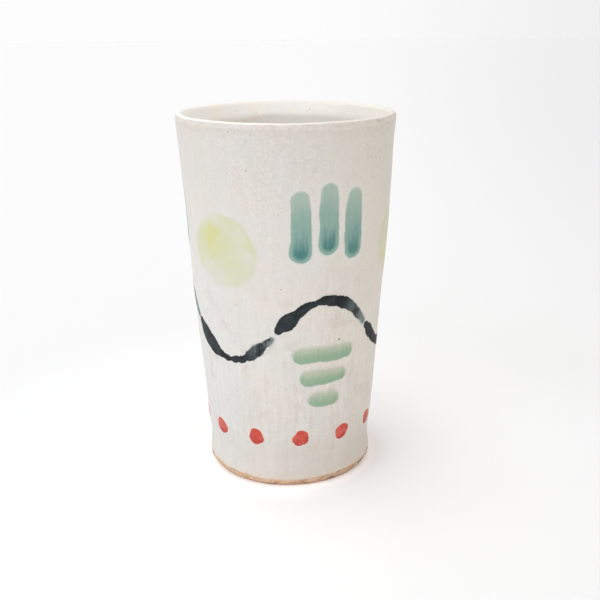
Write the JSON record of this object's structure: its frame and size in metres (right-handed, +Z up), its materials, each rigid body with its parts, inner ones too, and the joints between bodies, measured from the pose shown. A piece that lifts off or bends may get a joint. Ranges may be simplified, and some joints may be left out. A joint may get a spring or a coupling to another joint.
{
  "type": "tumbler",
  "caption": "Handmade tapered ceramic tumbler without a handle, satin white glaze with brushed colour marks, for holding a drink",
  "frame": {"origin": "centre of the foot, on the surface that the tumbler stands on", "axes": "+Z up along the axis of the cup, towards the lip; the front is -Y"},
  "size_m": [0.0858, 0.0858, 0.145],
  "materials": {
    "clay": "matte",
    "outer_glaze": "satin",
    "liner_glaze": "satin",
    "dark_stain": "satin",
    "yellow_stain": "satin",
    "green_stain": "satin",
    "teal_stain": "satin",
    "red_stain": "satin"
  },
  "bodies": {
    "root": {"clay_body": "clay", "outer_glaze": "outer_glaze", "liner_glaze": "liner_glaze", "dark_strokes": "dark_stain", "yellow_discs": "yellow_stain", "green_dashes": "green_stain", "teal_bars": "teal_stain", "red_dots": "red_stain"}
  },
  "joints": []
}
